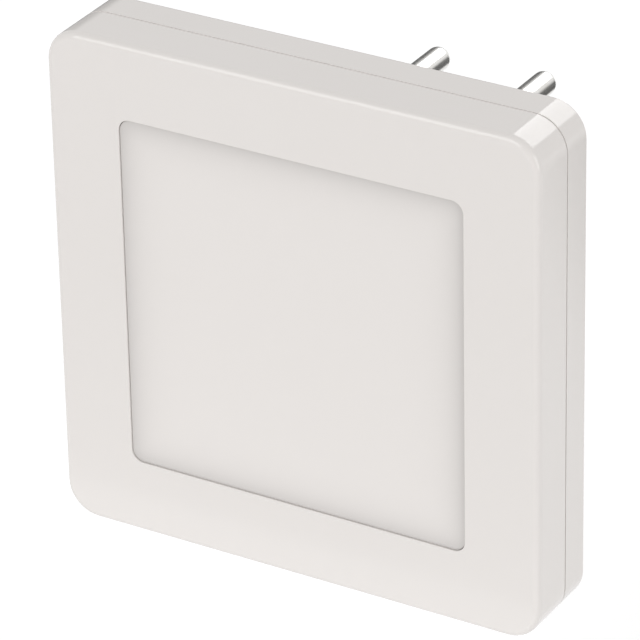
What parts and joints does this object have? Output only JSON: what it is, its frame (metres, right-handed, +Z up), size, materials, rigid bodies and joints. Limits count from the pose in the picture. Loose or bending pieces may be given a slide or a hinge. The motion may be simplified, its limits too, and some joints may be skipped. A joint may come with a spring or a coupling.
{
  "type": "plug in night light",
  "caption": "Flat square LED night light that plugs into a wall socket: glossy two part shell, opal window, two round pins and a slide switch below.",
  "frame": {"origin": "on the plug's end face, midway between the two pins", "axes": "+Y along the pins into the socket, +Z up on the wall, +X to the right as seen by someone facing the light"},
  "size_m": [0.084, 0.0638, 0.085],
  "materials": {
    "shell": "moulded, polished, warm white",
    "rear_shell": "moulded, polished, warm white",
    "opal": "fine satin, opal",
    "tray": "bright matt white",
    "board": "solder mask, satin",
    "led_package": "moulded white",
    "phosphor": "silicone over phosphor",
    "pin": "nickel plated brass, bright",
    "sleeve": "moulded",
    "retainer": "moulded",
    "screw": "zinc plated",
    "wire_brown": "extruded insulation",
    "wire_blue": "extruded insulation",
    "film_box": "epoxy filled box",
    "can_sleeve": "shrink sleeve over an aluminium can",
    "resistor": "lacquered",
    "chip": "moulded epoxy",
    "chip_resistor": "glazed film",
    "switch_metal": "tinned sheet",
    "terminal": "tinned",
    "stem": "moulded",
    "knob": "moulded, warm white"
  },
  "bodies": {
    "light_body": {"front_bezel": "shell", "rear_housing": "rear_shell", "diffuser": "opal", "reflector_tray": "tray", "main_board": "board", "led_packages": "led_package", "led_phosphors": "phosphor", "live_pin": "pin", "neutral_pin": "pin", "live_sleeve": "sleeve", "neutral_sleeve": "sleeve", "pin_retainer": "retainer", "retainer_screw": "screw", "housing_screws": "screw", "live_wire": "wire_brown", "neutral_wire": "wire_blue", "film_capacitor": "film_box", "electrolytic_capacitor": "can_sleeve", "fusible_resistor": "resistor", "bridge_rectifier": "chip", "driver_chip": "chip", "chip_resistors": "chip_resistor", "switch_case": "switch_metal", "switch_terminals": "terminal"},
    "switch_slider": {"switch_stem": "stem", "switch_knob": "knob"}
  },
  "joints": [
    {"name": "switch_slide", "type": "slide", "parent": "light_body", "child": "switch_slider", "axis": [1, 0, 0], "range_m": [0, 0.002]}
  ]
}
